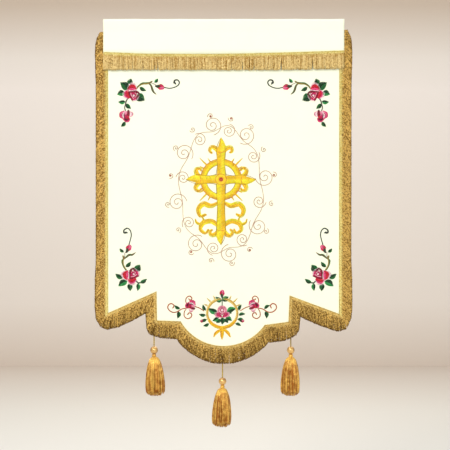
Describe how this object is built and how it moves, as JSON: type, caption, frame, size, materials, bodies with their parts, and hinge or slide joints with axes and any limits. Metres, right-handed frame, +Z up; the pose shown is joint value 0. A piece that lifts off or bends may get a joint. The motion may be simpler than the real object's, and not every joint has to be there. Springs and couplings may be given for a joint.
{
  "type": "church banner",
  "caption": "Hanging ivory church banner with a rod sleeve, shaped lower edge, gold bullion fringe and hanging tassels.",
  "frame": {"origin": "middle of the heading's top edge, where the banner hangs from its crossbar", "axes": "+Z up, the front with the embroidery faces -Y, +X to the right as seen from the front"},
  "size_m": [0.9586, 0.0776, 1.5203],
  "materials": {
    "ivory_satin": "smooth ivory satin with a soft sheen",
    "gold_bullion": "twisted metallic gold thread",
    "gold_rayon": "glossy gold thread",
    "embroidery_thread": "satin stitch in coloured and gold thread"
  },
  "bodies": {
    "root": {"banner_cloth": "ivory_satin", "heading_sleeve": "ivory_satin", "fringe_top": "gold_bullion", "fringe_side_left": "gold_bullion", "fringe_side_right": "gold_bullion", "fringe_ear_left": "gold_bullion", "fringe_ear_right": "gold_bullion", "fringe_notch_left": "gold_bullion", "fringe_notch_right": "gold_bullion", "fringe_step_left": "gold_bullion", "fringe_step_right": "gold_bullion", "fringe_tongue_left": "gold_bullion", "fringe_tongue_right": "gold_bullion", "tassel_cord_left": "gold_rayon", "tassel_cord_centre": "gold_rayon", "tassel_cord_right": "gold_rayon", "tassel_bead_left": "gold_rayon", "tassel_bead_centre": "gold_rayon", "tassel_bead_right": "gold_rayon", "tassel_binding_left": "gold_rayon", "tassel_binding_centre": "gold_rayon", "tassel_binding_right": "gold_rayon", "tassel_skirt_left": "gold_rayon", "tassel_skirt_centre": "gold_rayon", "tassel_skirt_right": "gold_rayon"}
  },
  "joints": []
}
